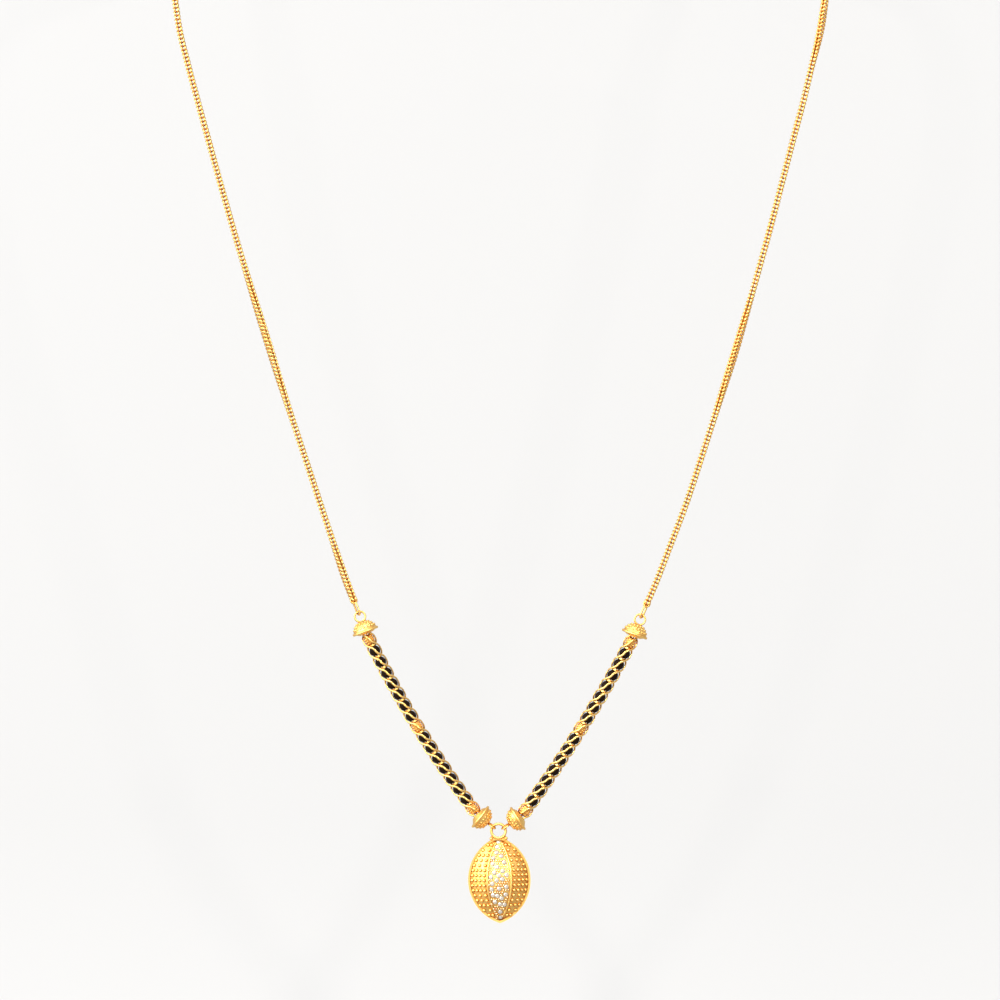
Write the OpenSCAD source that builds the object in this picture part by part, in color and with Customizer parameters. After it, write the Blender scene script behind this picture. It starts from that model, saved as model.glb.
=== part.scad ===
// Mangalsutra: a foxtail chain, two caged strands of black and gold beads and a pave pendant.
// Millimetres. The origin is where the clasp lies on the nape. +Z is up, and the front faces -Y.

/* [Hang] */
// Drop from the nape to the centre of the pendant's bail
bail_drop = 188.2; // [170:0.1:200]
// Sideways place of the pendant
pendant_x = -0.3; // [-2:0.1:2]
// Depth from the nape to the plane that the front hangs in
front_depth = 68; // [60:0.5:76]

/* [Chain] */
// Thickness of the foxtail chain
chain_d = 1.5; // [1:0.1:2.4]
// Wire of the link that joins the chain to a cap or to the clasp
link_wire = 0.4; // [0.3:0.02:0.5]
// Length of that link, outside
link_len = 3; // [2.4:0.1:4]
// Width of that link, outside
link_w = 1.5; // [1.4:0.05:1.8]

/* [Clasp] */
// Diameter of the plain barrel clasp
clasp_d = 3.2; // [2.4:0.1:5]
// Length of the barrel
clasp_len = 9; // [6:0.5:14]
// Wire of the clasp's two eyelets
eyelet_wire = 0.5; // [0.4:0.05:0.7]
// Diameter of an eyelet, outside
eyelet_d = 2.6; // [2.4:0.1:3.4]

/* [Bead strands] */
// Diameter of a black bead
bead_d = 2.2; // [1.6:0.05:2.3]
// Height of a black bead along its bore
bead_h = 1.85; // [1.4:0.05:2.1]
// Distance from one bead to the next
bead_pitch = 2.48; // [2.4:0.01:3]
// Black beads between two gold beads
beads_between = 7; // [3:1:8]
// Groups of black beads in a strand
bead_groups = 2; // [1:1:2]
// Bore of a bead
bore_d = 0.5; // [0.5:0.05:0.7]
// Diameter of the wire that the beads are strung on
string_d = 0.38; // [0.3:0.02:0.4]
// Diameter of its coiled knots between the beads
knot_d = 1.7; // [0.6:0.02:1.74]
// Diameter of a gold bead over its ribs
gold_bead_d = 2.2; // [1.6:0.05:2.3]
// Number of ribs round a gold bead
gold_ribs = 4; // [2:1:5]
// Distance between two ribs, in thicknesses of a rib
rib_spacing = 1.6; // [1.3:0.1:2]
// Width of the cage's flattened wire
cage_wire = 0.44; // [0.3:0.02:0.54]
// Thickness of that wire
cage_thick = 0.26; // [0.2:0.02:0.3]
// Wires in a cage
cage_wires = 4; // [3:1:5]
// Distance from a strand's axis to a wire between two beads
cage_waist_r = 1.1; // [1.06:0.01:1.15]
// The same distance in the caps' sockets
cage_end_r = 0.9; // [0.74:0.01:0.95]
// Turn of a wire from one bead to the next, in degrees
cage_turn = 90; // [60:5:110]
// Share by which a wire turns slower over a bead and faster between two beads
cage_ease = 0.75; // [0:0.05:0.8]
// Lean of the left strand from upright, in degrees
strand_lean_left = 31.5; // [28:0.5:36]
// Lean of the right strand from upright, in degrees
strand_lean_right = 32; // [28:0.5:36]
// Sag of the left strand away from a straight line
strand_bow_left = 1; // [0:0.1:1]
// Sag of the right strand away from a straight line
strand_bow_right = 0.8; // [0:0.1:1]

/* [Caps] */
// Diameter of a cap over its rim
cap_d = 5.4; // [4.8:0.1:6.2]
// Height of the granulated dome
cap_dome_h = 2.15; // [1.8:0.05:2.5]
// Thickness of the smooth rim
cap_rim = 0.5; // [0.4:0.05:0.8]
// Height of an upper cap's plain underside
upper_cone_h = 0.6; // [0.3:0.05:1]
// Height of a lower cap's plain cone
lower_cone_h = 0.9; // [0.6:0.05:1.3]
// Lean of the left upper cap from upright, in degrees
upper_lean_left = 20.5; // [12:0.5:30]
// Lean of the right upper cap from upright, in degrees
upper_lean_right = 20.5; // [12:0.5:30]
// Dip of the left lower cap below level, in degrees
lower_dip_left = 38; // [32:0.5:46]
// Dip of the right lower cap below level, in degrees
lower_dip_right = 33; // [28:0.5:42]
// Diameter of a granule on a cap
cap_granule_d = 0.5; // [0.4:0.02:0.6]
// Distance between granules on a cap
cap_granule_pitch = 0.66; // [0.64:0.01:1.2]
// Rings of granules on a cap
cap_granule_rings = 3; // [1:1:3]
// Depth of the socket that takes a strand's end
socket_depth = 0.7; // [0.5:0.05:0.9]

/* [Rings] */
// Wire of an upper cap's ring
ring_wire = 0.4; // [0.3:0.02:0.5]
// Diameter of an upper cap's ring, to the middle of its wire
ring_d = 2.1; // [1.9:0.05:2.6]
// Wire of the loop on a lower cap
loop_wire = 0.36; // [0.3:0.02:0.44]
// Diameter of that loop, to the middle of its wire
loop_d = 1.7; // [1.6:0.02:1.9]
// Wire of the pendant's bail
bail_wire = 0.55; // [0.4:0.01:0.6]
// Diameter of the bail, to the middle of its wire
bail_d = 2.84; // [2.6:0.02:3.2]

/* [Pendant] */
// Width of the pendant
pendant_w = 12.5; // [11:0.1:15]
// Height of the pendant without its bail
pendant_h = 17.3; // [16:0.1:20]
// Lean of the pendant to the right, in degrees
pendant_lean = 1; // [-3:0.5:3]
// Thickness of the back plate
plate_t = 0.9; // [0.6:0.05:1.4]
// Height of the dome over the plate
dome_depth = 2.9; // [2:0.1:3.4]
// Width of the smooth rim
rim_w = 0.45; // [0.4:0.05:0.9]
// Height of the rim over the plate's front
rim_rise = 0.45; // [0.2:0.05:0.8]
// Distance from the middle to a ridge, at the pendant's waist
ridge_x = 2.4; // [2.2:0.05:3]
// Thickness of a ridge
ridge_d = 0.48; // [0.36:0.02:0.6]
// Diameter of a granule on the flanks
granule_d = 0.72; // [0.5:0.02:0.8]
// Distance between rows of granules
granule_row = 1; // [0.9:0.01:1.4]
// Distance between granules in a row
granule_pitch = 0.95; // [0.9:0.01:1.4]

/* [Stones] */
// Diameter of a stone
stone_d = 0.9; // [0.6:0.02:0.94]
// Facets round a stone
stone_facets = 8; // [8:1:12]
// Height of a stone above its girdle
crown_h = 0.14; // [0.08:0.01:0.2]
// Depth of a stone below its girdle
pavilion_h = 0.3; // [0.2:0.01:0.4]
// Width of the table as a share of the stone
table_share = 0.58; // [0.45:0.01:0.7]

/* [Clearances] */
// Gap between pieces that seat on each other
seat_gap = 0.05; // [0.04:0.01:0.08]
// Gap between a bead and the wires of its cage
cage_gap = 0.07; // [0.06:0.01:0.1]
// Gap between links that hang in each other
link_gap = 0.1; // [0.08:0.01:0.14]

/* [Hidden] */
$fn = 64;
// Depth that a soldered ring is let into what carries it
solder_sink = 0.12;
// Turn of the lower caps' loops, which shows their hole from the front
loop_spin = 10;
// Turn of the links in the upper caps' rings
link_spin = 60;
// Depth to which a cap's granules are let in, as a share of their diameter
cap_granule_sink = 0.2;
// Polar angle of the first ring of granules on a cap, outside its ring or loop
granule_polar = 32;
// Depth of the plate's front behind the bail, which puts the weight under it
plate_back = 0.6;
// Depth that the bail sinks into the pendant's tip
bail_sink = 0.55;
// Sections of a cage's wire from one bead to the next
cage_sections = 6;
// Place of the front wire round a bead, where 90 is straight in front
cage_phase = 85;
// Half lengths of a knot's thick part and of the whole knot, as shares of half the gap between beads
knot_thick = 0.5;
knot_whole = 0.8;
// Share of a pitch by which a row's granules close up to take one more
granule_squeeze = 0.25;
// Places of the bail's granules, inwards and backwards, in granules
bail_granule_in = 0.125;
bail_granule_back = 0.25;
// Depth of the dome's flat back, as a share of the plate's thickness
dome_back = 0.33;
// Sides of a chain's tube and of the stringing wire, and of a cage's wire
tube_sides = 8;
wire_sides = 6;
SIDES = [-1, 1];
// Rows of a strand: groups of black beads with a gold bead at each end of a group
bead_rows = bead_groups * (beads_between + 1) + 1;
PAIRED = ["chain", "clasp_link", "cap_link", "upper_cap", "cage", "stringing_wire", "lower_cap"];

// The tube's own route up each side, in the plane of the front: across and down from the origin
ROUTE_LEFT = [
    [-31, -137.5], [-33.2, -131], [-36.2, -122], [-39.5, -112], [-42.8, -102], [-45.8, -92.5],
    [-48.6, -83.5], [-51.2, -75], [-53.6, -67], [-56, -58.5], [-58.2, -50.5], [-60.4, -42.5],
    [-62.4, -35], [-64, -28.5], [-65, -22]];
ROUTE_RIGHT = [
    [31.2, -138.5], [33.9, -131.5], [37.3, -122.5], [40.6, -112.5], [43.8, -102.5], [46.8, -93],
    [49.6, -83.5], [52, -75], [54.2, -67], [56.4, -58.5], [58.6, -50], [60.6, -42.5],
    [62.4, -35], [64, -28.5], [65, -22]];
// The same route over the shoulder and round the nape, for the right side: across, back and up,
// where back runs from 0 at the front to 1 at the nape
ROUTE_BACK = [
    [65.6, 0.01, -16.5], [66, 0.05, -11], [66.2, 0.12, -6.2], [66.2, 0.2, -2.8], [65.8, 0.28, -0.9],
    [64.6, 0.37, 0], [62.2, 0.47, 0], [58.2, 0.58, 0], [52.4, 0.69, 0], [45, 0.79, 0], [36, 0.875, 0],
    [26.5, 0.94, 0], [17, 0.98, 0]];

// Places of the stones: across as a share of ridge_x, and up as a share of half the ridges' height
STONES = [
    [-0.02, 0.93], [-0.14, 0.81], [-0.18, 0.68], [0.2, 0.59], [-0.48, 0.55], [0.42, 0.44], [-0.54, 0.41],
    [-0.18, 0.33], [0.3, 0.23], [-0.42, 0.19], [0.62, 0.13], [-0.02, 0.12], [-0.71, 0.08], [0.26, 0.03],
    [-0.22, 0], [-0.6, -0.08], [0.58, -0.16], [-0.02, -0.2], [-0.66, -0.22], [-0.55, -0.36],
    [0.51, -0.35], [-0.18, -0.38], [0.17, -0.44], [-0.4, -0.53], [0.4, -0.6], [0.03, -0.59],
    [0.03, -0.78], [0.04, -0.92]];

function side_name(s) = s < 0 ? "left" : "right";
function by_side(s, left, right) = s < 0 ? left : right;
function unit(v) = v / norm(v);
function lean_dir(s, angle) = [s * sin(angle), cos(angle)];
function on_front(p) = [p[0], -front_depth, p[1]];

// Beads: the first, the last and every group's first row is gold
function is_gold(row) = row % (beads_between + 1) == 0;
function count_gold(row) = len([for (i = [0:row]) if (is_gold(i)) i]);
function bead_name(s, row) = str(
    is_gold(row) ? "gold_bead_" : "black_bead_", side_name(s), "_",
    is_gold(row) ? count_gold(row) : row + 1 - count_gold(row));

// Where the pieces hang in each other, from the bail upwards, in the plane of the front
bail_at = [pendant_x, -bail_drop];
hold_dist = loop_d - solder_sink - loop_wire / 2 - bail_wire / 2 - link_gap;
strand_len = bead_rows * bead_pitch;
function lower_dir(s) = lean_dir(s, 90 - by_side(s, lower_dip_left, lower_dip_right));
function lower_at(s) = bail_at + (bail_d / 2 + hold_dist + cap_dome_h) * lower_dir(s);
function strand_lean(s) = by_side(s, strand_lean_left, strand_lean_right);
function strand_bow(s) = by_side(s, strand_bow_left, strand_bow_right);
function strand_start(s) = lower_at(s) + lower_cone_h * lower_dir(s)
    + seat_gap * lean_dir(s, strand_lean(s));
function strand_turn(s) = atan2(4 * strand_bow(s), strand_len);
function upper_dir(s) = lean_dir(s, by_side(s, upper_lean_left, upper_lean_right));
function strand_end(s) = strand_start(s) + strand_len * lean_dir(s, strand_lean(s));
function upper_at(s) = strand_end(s) + seat_gap * lean_dir(s, strand_lean(s) - strand_turn(s))
    + upper_cone_h * upper_dir(s);
function ring_top(s) = upper_at(s) + (cap_dome_h - 2 * solder_sink + ring_d) * upper_dir(s);
function route_first(s) = by_side(s, ROUTE_LEFT[0], ROUTE_RIGHT[0]);
function cap_link_foot(s) = ring_top(s) - (ring_wire / 2 + link_gap + link_wire / 2) * upper_dir(s);
function cap_link_dir(s) = unit(route_first(s) - cap_link_foot(s));
function chain_foot(s) = cap_link_foot(s) + (link_len + link_gap - link_wire / 2) * cap_link_dir(s);

// The axis of a strand, from 0 at the lower cap to 1 at the upper one, and straight on past both
function strand_axis(s, t) = strand_start(s) + strand_len * t * lean_dir(s, strand_lean(s))
    + 4 * strand_bow(s) * (t < 0 ? t : t > 1 ? 1 - t : t * (1 - t)) * lean_dir(s, strand_lean(s) + 90);
function strand_dir(s, t) = unit(strand_axis(s, t + 0.001) - strand_axis(s, t - 0.001));
function strand_angle(s, t) = atan2(strand_dir(s, t)[0], strand_dir(s, t)[1]);
function row_share(row) = (row + 0.5) / bead_rows;

// A tube swept through the middles of its rings. Each ring has an outward direction, a thickness that
// way and a width across it
function ring_of(middle, out, along, thick, wide, sides) = [for (k = [0:sides - 1])
    middle + thick / 2 * cos(360 * k / sides) * out + wide / 2 * sin(360 * k / sides) * cross(along, out)];
function along_at(middles, i) = unit(
    middles[min(i + 1, len(middles) - 1)] - middles[max(i - 1, 0)]);
function square_to(v, along) = unit(v - (v * along) * along);

module swept(middles, outs, thicks, wides, sides) {
    last = len(middles) - 1;
    corners = [for (i = [0:last])
        let (along = along_at(middles, i))
        each ring_of(middles[i], square_to(outs[i], along), along, thicks[i], wides[i], sides)];
    walls = [for (i = [0:last - 1], k = [0:sides - 1])
        let (a = i * sides + k, b = i * sides + (k + 1) % sides)
        each [[a, a + sides, b], [b, a + sides, b + sides]]];
    foot = [for (k = [0:sides - 1]) k];
    head = [for (k = [sides - 1:-1:0]) last * sides + k];
    polyhedron(corners, concat(walls, [foot], [head]), convexity = 10);
}

// A round tube, whose outward direction starts towards the front and is carried on without a twist
module round_tube(middles, widths) {
    outs = [for (i = 0, out = [0, -1, 0]; i < len(middles);
        out = square_to(out, along_at(middles, i)), i = i + 1) out];
    swept(middles, outs, widths, widths, tube_sides);
}

// Puts a shape that stands along Z at a place in the plane of the front, along a direction there
module stand(at, dir) {
    translate(on_front(at)) rotate([0, atan2(dir[0], dir[1]), 0]) children();
}

// A round ring of wire, upright in the XZ plane
module wire_ring(ring, wire) {
    rotate([90, 0, 0]) rotate_extrude() translate([ring / 2, 0]) circle(d = wire);
}

// A long link, upright in the XZ plane with the middle of its lower bend's wire at the origin
module long_link() {
    bend = (link_w - link_wire) / 2;
    leg = link_len - link_w;
    for (up = [0, 1])
        translate([0, 0, bend + up * leg]) rotate([90, 180 * (1 - up), 0])
            rotate_extrude(angle = 180) translate([bend, 0]) circle(d = link_wire);
    for (s = SIDES) translate([s * bend, 0, bend]) cylinder(h = leg, d = link_wire);
}

function chain_route(s) = let (front = by_side(s, ROUTE_LEFT, ROUTE_RIGHT), back_y = clasp_d / 2)
    concat(
        [on_front(chain_foot(s))],
        [for (p = front) on_front(p)],
        [for (p = ROUTE_BACK) [s * p[0], (front_depth + back_y) * p[1] - front_depth, p[2]]],
        [clasp_end(s)]);
clasp_reach = clasp_len / 2 + eyelet_d - eyelet_wire - solder_sink;
function clasp_link_foot(s) = [
    s * (clasp_reach - eyelet_wire / 2 - link_gap - link_wire / 2), clasp_d / 2, 0];
function clasp_end(s) = clasp_link_foot(s) + [s * (link_len + link_gap - link_wire / 2), 0, 0];

module chain(s) {
    route = chain_route(s);
    color("gold") round_tube(route, [for (p = route) chain_d]);
}

module clasp_link(s) {
    color("gold") translate(clasp_link_foot(s)) rotate([0, s * 90, 0]) rotate([0, 0, 90]) long_link();
}

module cap_link(s) {
    color("gold") stand(cap_link_foot(s), cap_link_dir(s)) rotate([0, 0, s * link_spin]) long_link();
}

module clasp() {
    color("gold") translate([0, clasp_d / 2, 0]) {
        rotate([0, 90, 0]) cylinder(h = clasp_len, d = clasp_d, center = true);
        for (s = SIDES)
            translate([s * (clasp_len / 2 + eyelet_d / 2 - solder_sink - eyelet_wire / 2), 0, 0])
                wire_ring(eyelet_d - eyelet_wire, eyelet_wire);
    }
}

// A cap with its rim level at the origin and its dome up, and the strand's end let in from below
module cap(cone_h, strand_tilt) {
    rim_r = cap_d / 2 - cap_rim / 2;
    ball_r = (rim_r * rim_r + cap_dome_h * cap_dome_h) / (2 * cap_dome_h);
    socket_r = cage_end_r + cage_thick / 2 + seat_gap;
    difference() {
        union() {
            difference() {
                translate([0, 0, cap_dome_h - ball_r]) sphere(r = ball_r);
                translate([0, 0, -cap_d]) cube(2 * cap_d, center = true);
            }
            rotate_extrude() translate([rim_r, 0]) circle(d = cap_rim);
            translate([0, 0, -cone_h]) cylinder(h = cone_h, r1 = socket_r + cap_rim / 2, r2 = rim_r);
            for (ring = [0:cap_granule_rings - 1]) {
                polar = granule_polar + ring * cap_granule_pitch / ball_r * 180 / PI;
                around = floor(360 * ball_r * sin(polar) / cap_granule_pitch * PI / 180);
                if (ball_r * sin(polar) < rim_r)
                    for (k = [0:around - 1])
                        translate([0, 0, cap_dome_h - ball_r])
                            rotate([0, polar, 360 * (k + ring / 2) / around])
                            translate([0, 0, ball_r - cap_granule_sink * cap_granule_d]) sphere(d = cap_granule_d);
            }
        }
        translate([0, 0, -cone_h]) rotate([0, strand_tilt, 0]) {
            translate([0, 0, -cap_d])
                cylinder(h = cap_d, r = cage_wide_r + cage_thick / 2 + seat_gap);
            cylinder(h = socket_depth + seat_gap, r = socket_r);
        }
    }
}

module upper_cap(s) {
    ring_at = cap_dome_h - solder_sink + ring_d / 2;
    color("gold") stand(upper_at(s), upper_dir(s)) {
        cap(upper_cone_h, strand_angle(s, 1) - atan2(upper_dir(s)[0], upper_dir(s)[1]));
        translate([0, 0, ring_at]) wire_ring(ring_d, ring_wire);
    }
}

module lower_cap(s) {
    loop_at = cap_dome_h - solder_sink + loop_d / 2;
    color("gold") stand(lower_at(s), -lower_dir(s)) {
        cap(lower_cone_h, strand_angle(s, 0) - atan2(lower_dir(s)[0], lower_dir(s)[1]));
        translate([0, 0, loop_at]) rotate([0, 0, 90 - s * loop_spin]) wire_ring(loop_d, loop_wire);
    }
}

// The cage's wires are wide round each bead, a little narrower and twisted more between two beads,
// and drawn together in the caps
cage_wide_r = max(bead_d, gold_bead_d) / 2 + cage_gap + cage_thick / 2;
function cage_low_r(rows) = rows < 0.5 || rows > bead_rows - 0.5 ? cage_end_r : cage_waist_r;
function cage_r(rows) = cage_low_r(rows)
    + (cage_wide_r - cage_low_r(rows)) * sin(180 * (rows - floor(rows)));
function cage_angle(rows) = cage_turn * (rows - 0.5 + cage_ease * sin(360 * rows) / (2 * PI));
function cage_out(s, t, angle) = cos(angle) * [strand_dir(s, t)[1], 0, -strand_dir(s, t)[0]] * -s
    + sin(angle) * [0, -1, 0];

module cage(s) {
    tail = socket_depth / strand_len;
    steps = bead_rows * cage_sections;
    shares = concat([-tail], [for (i = [0:steps]) i / steps], [1 + tail]);
    color("gold") for (w = [0:cage_wires - 1]) {
        rows = [for (t = shares) max(0, min(1, t)) * bead_rows];
        outs = [for (i = [0:len(shares) - 1])
            cage_out(s, shares[i], cage_phase + 360 * w / cage_wires + cage_angle(rows[i]))];
        places = [for (i = [0:len(shares) - 1])
            on_front(strand_axis(s, shares[i])) + cage_r(rows[i]) * outs[i]];
        swept(places, outs, [for (t = shares) cage_thick], [for (t = shares) cage_wire], wire_sides);
    }
}

// The wire through the beads, with a knot between each two
module stringing_wire(s) {
    tail = socket_depth / bead_pitch;
    knot_half = (bead_pitch - bead_h) / 2 / bead_pitch;
    outline = [
        [-knot_whole, string_d], [-knot_thick, knot_d], [knot_thick, knot_d], [knot_whole, string_d]];
    stations = concat(
        [[-tail, string_d]],
        [for (row = [1:bead_rows - 1], corner = outline) [row + corner[0] * knot_half, corner[1]]],
        [[bead_rows + tail, string_d]]);
    middles = [for (p = stations) on_front(strand_axis(s, p[0] / bead_rows))];
    color("gold") round_tube(middles, [for (p = stations) p[1]]);
}

module on_strand(s, row) {
    stand(strand_axis(s, row_share(row)), strand_dir(s, row_share(row))) children();
}

module black_bead(s, row) {
    color("black") on_strand(s, row) difference() {
        intersection() {
            sphere(d = bead_d);
            cube([2 * bead_d, 2 * bead_d, bead_h], center = true);
        }
        cylinder(h = 2 * bead_d, d = bore_d, center = true);
    }
}

module gold_bead(s, row) {
    rib = gold_bead_d / gold_ribs / 2;
    color("gold") on_strand(s, row) difference() {
        union() {
            sphere(d = gold_bead_d - rib);
            for (k = [0:gold_ribs - 1]) {
                up = (k + 0.5 - gold_ribs / 2) * rib_spacing * rib;
                translate([0, 0, up]) rotate_extrude()
                    translate([sqrt(pow((gold_bead_d - rib) / 2, 2) - up * up), 0]) circle(d = rib);
            }
        }
        cylinder(h = 2 * gold_bead_d, d = bore_d, center = true);
    }
}

// The pendant's frame: its middle at the front of its plate, and the dome towards -Y
module pendant_frame() {
    drop = bail_d / 2 + bail_wire / 2 - bail_sink + pendant_h / 2;
    translate(on_front(bail_at)) rotate([0, -pendant_lean, 0]) translate([0, plate_back, -drop]) children();
}

// The outline is two arcs that meet in a point at the top and at the bottom
outline_r = (pow(pendant_h, 2) + pow(pendant_w, 2)) / (4 * pendant_w);
outline_off = outline_r - pendant_w / 2;
function outline_at(z) = sqrt(pow(outline_r, 2) - z * z) - outline_off;

// The dome is part of a spindle: an arc turned about an upright axis behind the plate
dome_w = (pendant_w - rim_w) / 2;
dome_half_h = pendant_h / 2 - rim_w;
spindle_back = (pow(dome_w, 2) - pow(dome_depth, 2)) / (2 * dome_depth);
spindle_r = spindle_back + dome_depth;
arc_r = (pow(dome_half_h, 2) + pow(dome_depth, 2)) / (2 * dome_depth);
arc_off = arc_r - spindle_r;
function spindle_at(z) = sqrt(pow(arc_r, 2) - z * z) - arc_off;
function dome_y(x, z) = spindle_back - sqrt(pow(spindle_at(z), 2) - x * x);
function dome_half_w(z) = sqrt(pow(spindle_at(z), 2) - pow(spindle_back, 2));

// Turns a shape that stands along Z out of the dome at a place on it
module on_dome(x, z) {
    turn = asin(x / spindle_at(z));
    translate([x, dome_y(x, z), z]) rotate([0, 0, turn]) rotate([90 - asin(z / arc_r), 0, 0]) children();
}

// A ridge is an arc in an upright plane through both points of the dome
ridge_y = dome_y(ridge_x, 0);
ridge_rise = norm([ridge_x, ridge_y]);
ridge_arc_r = (pow(dome_half_h, 2) + pow(ridge_rise, 2)) / (2 * ridge_rise);
function ridge_at(z) = ridge_x / ridge_rise
    * (sqrt(pow(ridge_arc_r, 2) - z * z) - ridge_arc_r + ridge_rise);

// An arc of wire in the XZ plane through [0, half_h], [rise, 0] and [0, -half_h]
module wire_arc(arc, half_h, wire) {
    sweep = asin(half_h / arc);
    translate([-arc * cos(sweep), 0, 0]) rotate([90, 0, 0]) rotate([0, 0, -sweep])
        rotate_extrude(angle = 2 * sweep) translate([arc, 0]) circle(d = wire);
}

// The outline as a slab from the plate's back up to a height over its front
module outline_slab(inset, rise) {
    translate([0, -rise, 0]) rotate([-90, 0, 0]) linear_extrude(plate_t + rise) intersection() {
        translate([outline_off, 0]) circle(r = outline_r - inset);
        translate([-outline_off, 0]) circle(r = outline_r - inset);
    }
}

module rim() {
    difference() {
        outline_slab(0, rim_rise);
        translate([0, -plate_t, 0]) outline_slab(rim_w, rim_rise);
    }
}

// The dome ends in the rim all round, also near the points, where the spindle is wider than the outline
module dome() {
    intersection() {
        difference() {
            translate([0, spindle_back, 0]) rotate_extrude() intersection() {
                translate([-arc_off, 0]) circle(r = arc_r);
                translate([0, -arc_r]) square(2 * arc_r);
            }
            translate([-2 * arc_r, plate_t * dome_back, -2 * arc_r]) cube(4 * arc_r);
        }
        outline_slab(rim_w / 2, 2 * dome_depth);
    }
}

module ridges() {
    for (s = SIDES) rotate([0, 0, s < 0 ? 180 - atan2(ridge_y, ridge_x) : atan2(ridge_y, ridge_x)])
        wire_arc(ridge_arc_r, dome_half_h, ridge_d);
}

module flank_granules() {
    rows = floor((dome_half_h - granule_d) / granule_row);
    clear = granule_d / 2 + seat_gap;
    for (s = SIDES, row = [-rows:rows]) {
        z = row * granule_row;
        r = spindle_at(z);
        inner = asin((ridge_at(z) + ridge_d / 2 + clear) / r);
        outer = asin((outline_at(z) - rim_w - clear) / r);
        spaces = floor((outer - inner) * r * PI / 180 / granule_pitch + granule_squeeze);
        for (k = [0:1:spaces])
            on_dome(s * r * sin(outer - k * (outer - inner) / max(1, spaces)), z) sphere(d = granule_d);
    }
}

// The bail's ring, and the shoulders that carry it on the pendant's tip
module bail() {
    tip = pendant_h / 2;
    shoulder = bail_d / 4;
    foot = tip - shoulder;
    ring_z = tip + bail_d / 2 + bail_wire / 2 - bail_sink;
    foot_w = outline_at(foot) - seat_gap;
    translate([0, -plate_back, ring_z]) wire_ring(bail_d, bail_wire);
    difference() {
        translate([0, plate_t / 2, 0]) rotate([90, 0, 0])
            linear_extrude(plate_t / 2 + plate_back)
            polygon([[-foot_w, foot], [foot_w, foot],
                [bail_d / 2, ring_z - shoulder], [-bail_d / 2, ring_z - shoulder]]);
        translate([0, 0, ring_z]) rotate([90, 0, 0])
            cylinder(h = 4 * (plate_t + plate_back), r = bail_d / 2, center = true);
    }
    for (s = SIDES)
        translate([
            s * (foot_w - bail_granule_in * granule_d),
            bail_granule_back * granule_d - plate_back,
            foot + granule_d / 2])
            sphere(d = granule_d);
}

module at_stone(place) {
    on_dome(place[0] * ridge_x, place[1] * dome_half_h) children();
}

module pendant() {
    color("gold") pendant_frame() {
        difference() {
            union() {
                rim();
                dome();
                ridges();
                flank_granules();
                bail();
            }
            for (place = STONES) at_stone(place)
                translate([0, 0, -pavilion_h - seat_gap])
                cylinder(h = 2 * pavilion_h, d = stone_d + 2 * seat_gap);
        }
    }
}

module stone() {
    rotate_extrude($fn = stone_facets) polygon([[0, -pavilion_h], [stone_d / 2, 0],
        [stone_d / 2 * table_share, crown_h], [0, crown_h]]);
}

module pave_stones() {
    color("white") pendant_frame() for (place = STONES) at_stone(place) stone();
}

module bead(s, row) {
    if (is_gold(row)) gold_bead(s, row);
    else black_bead(s, row);
}

clasp();
pendant();
pave_stones();
for (s = SIDES) {
    chain(s);
    clasp_link(s);
    cap_link(s);
    upper_cap(s);
    cage(s);
    stringing_wire(s);
    lower_cap(s);
    for (row = [0:bead_rows - 1])
        bead(s, row);
}
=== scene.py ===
"""Dresses the mangalsutra: foxtail links, wire cages, cut stones, prongs, finishes and the stage."""

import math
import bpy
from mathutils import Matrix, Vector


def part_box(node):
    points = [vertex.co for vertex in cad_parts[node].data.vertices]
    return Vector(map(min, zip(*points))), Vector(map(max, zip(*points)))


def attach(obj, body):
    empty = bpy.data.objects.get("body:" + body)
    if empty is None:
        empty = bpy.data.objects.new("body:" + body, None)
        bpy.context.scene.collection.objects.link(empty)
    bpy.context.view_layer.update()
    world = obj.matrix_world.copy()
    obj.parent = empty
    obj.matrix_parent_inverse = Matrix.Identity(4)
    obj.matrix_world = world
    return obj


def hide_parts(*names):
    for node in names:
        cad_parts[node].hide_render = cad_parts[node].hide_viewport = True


bl_info = {
    "name": "Mangalsutra Necklace",
    "version": (1, 0, 0),
    "blender": (4, 5, 0),
    "location": "3D View > Sidebar > Mangalsutra",
    "description": "Chain links, bead cages, pave stones and finishes for a hanging mangalsutra",
    "category": "Object",
}

import bmesh
import bpy
from mathutils import Matrix, Vector, bvhtree

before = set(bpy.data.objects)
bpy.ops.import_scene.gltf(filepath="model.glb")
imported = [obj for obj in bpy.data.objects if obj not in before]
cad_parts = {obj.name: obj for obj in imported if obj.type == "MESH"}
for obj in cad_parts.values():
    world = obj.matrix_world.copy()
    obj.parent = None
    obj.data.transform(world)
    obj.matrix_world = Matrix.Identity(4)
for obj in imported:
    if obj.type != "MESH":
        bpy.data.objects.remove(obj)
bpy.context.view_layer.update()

MM = 0.001
FRONT = Vector((0, -1, 0))
UP = Vector((0, 0, 1))
SIDES = {"left": -1, "right": 1}
FRONT_DEPTH = 0.068
BACK_Y = 0.0016
GOLDEN_TURN = math.pi * (3 - math.sqrt(5))

# How finely the curves and the round pieces are made
CURVE_STEPS = 24
LINK_SECTIONS = 12
LINK_SIDES = 5
END_RING_SECTIONS = 16
END_RING_SIDES = 6
CAGE_SECTIONS = 16
WIRE_SIDES = 10
BARREL_STEPS = 4
BARREL_SIDES = 20
GRANULE_SIDES = 8
GRANULE_RINGS = 5
SWEEP_STEPS = 16

# Small lengths, in metres, and shares of a piece
END_DEPTH = 0.05 * MM
GRANULE_SINK = 0.05 * MM
MERGE_DISTANCE = 0.001 * MM
BARREL_TIP = 0.6
LEAST_ROW = 0.75

# The half width of the sweep, the radius of its bend, the reach of its floor and the height of its wall
SWEEP_HALF, SWEEP_BEND, SWEEP_REACH, SWEEP_TOP = 3, 0.15, 4, 2
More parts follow.
